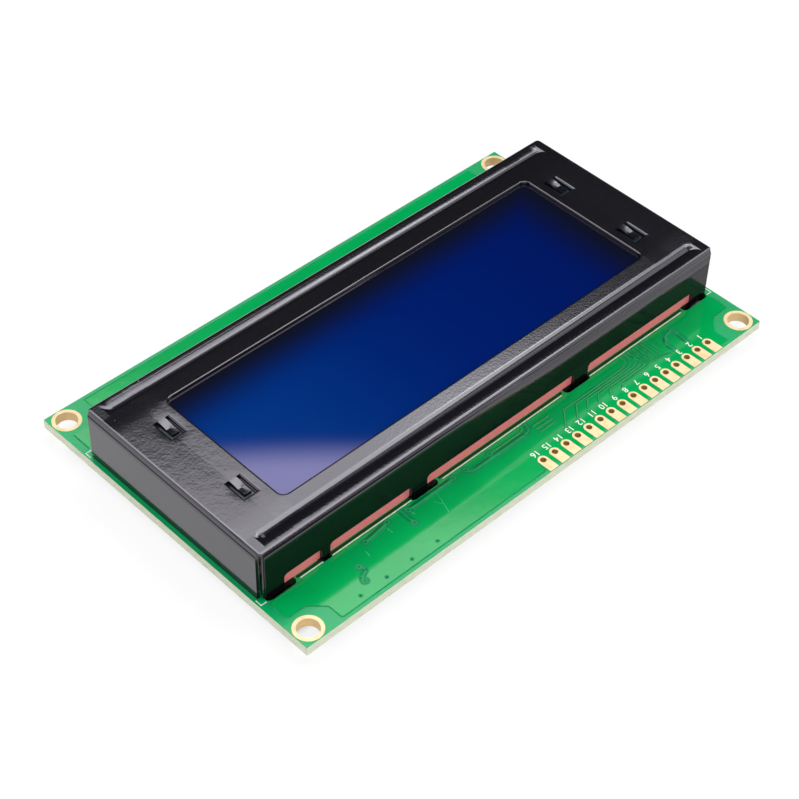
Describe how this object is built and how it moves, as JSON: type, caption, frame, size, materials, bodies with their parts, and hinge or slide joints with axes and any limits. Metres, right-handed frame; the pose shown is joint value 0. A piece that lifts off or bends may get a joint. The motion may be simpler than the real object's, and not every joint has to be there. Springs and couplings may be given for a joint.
{
  "type": "character lcd module",
  "caption": "Character liquid crystal display module: a circuit board with plated header and mounting holes and a black sheet-steel bezel over the glass.",
  "frame": {"origin": "middle of the board in plan, on the plane that the epoxy globs on its back rest on", "axes": "+X to the reader's right along the board, +Y towards the header row, +Z out of the display"},
  "size_m": [0.098, 0.06, 0.0127],
  "materials": {
    "solder_mask": "green solder mask over glass-epoxy board",
    "bezel_paint": "black paint, semi-gloss, on steel sheet",
    "gold_plating": "thin gold plating over copper",
    "cell_glass": "clear sheet glass with cut edges",
    "polarizer": "dark blue polarizing film, glossy",
    "elastomer": "pink silicone rubber",
    "white_plastic": "white moulded plastic",
    "clear_acrylic": "clear acrylic",
    "white_film": "white film",
    "led_board_mask": "white solder mask on glass-epoxy board",
    "led_body": "white LED packages with yellow phosphor",
    "tin": "tinned metal and solder",
    "epoxy": "black epoxy, satin",
    "resistor_body": "black glaze on alumina",
    "capacitor_body": "tan ceramic"
  },
  "bodies": {
    "root": {"board": "solder_mask", "mounting_rings": "gold_plating", "header_pads": "gold_plating", "bezel": "bezel_paint", "front_glass": "cell_glass", "rear_glass": "cell_glass", "front_polarizer": "polarizer", "rear_polarizer": "polarizer", "elastomer_strip_header_side": "elastomer", "elastomer_strip_far_side": "elastomer", "backlight_frame": "white_plastic", "reflector_sheet": "white_film", "light_guide": "clear_acrylic", "diffuser_sheet": "white_film", "led_board": "led_board_mask", "led_chips": "led_body", "backlight_leads": "tin", "lead_solder": "tin", "controller_glob": "epoxy", "driver_glob_left": "epoxy", "driver_glob_right": "epoxy", "chip_resistors": "resistor_body", "resistor_terminals": "tin", "chip_capacitors": "capacitor_body", "capacitor_terminals": "tin", "chip_solder": "tin"}
  },
  "joints": []
}
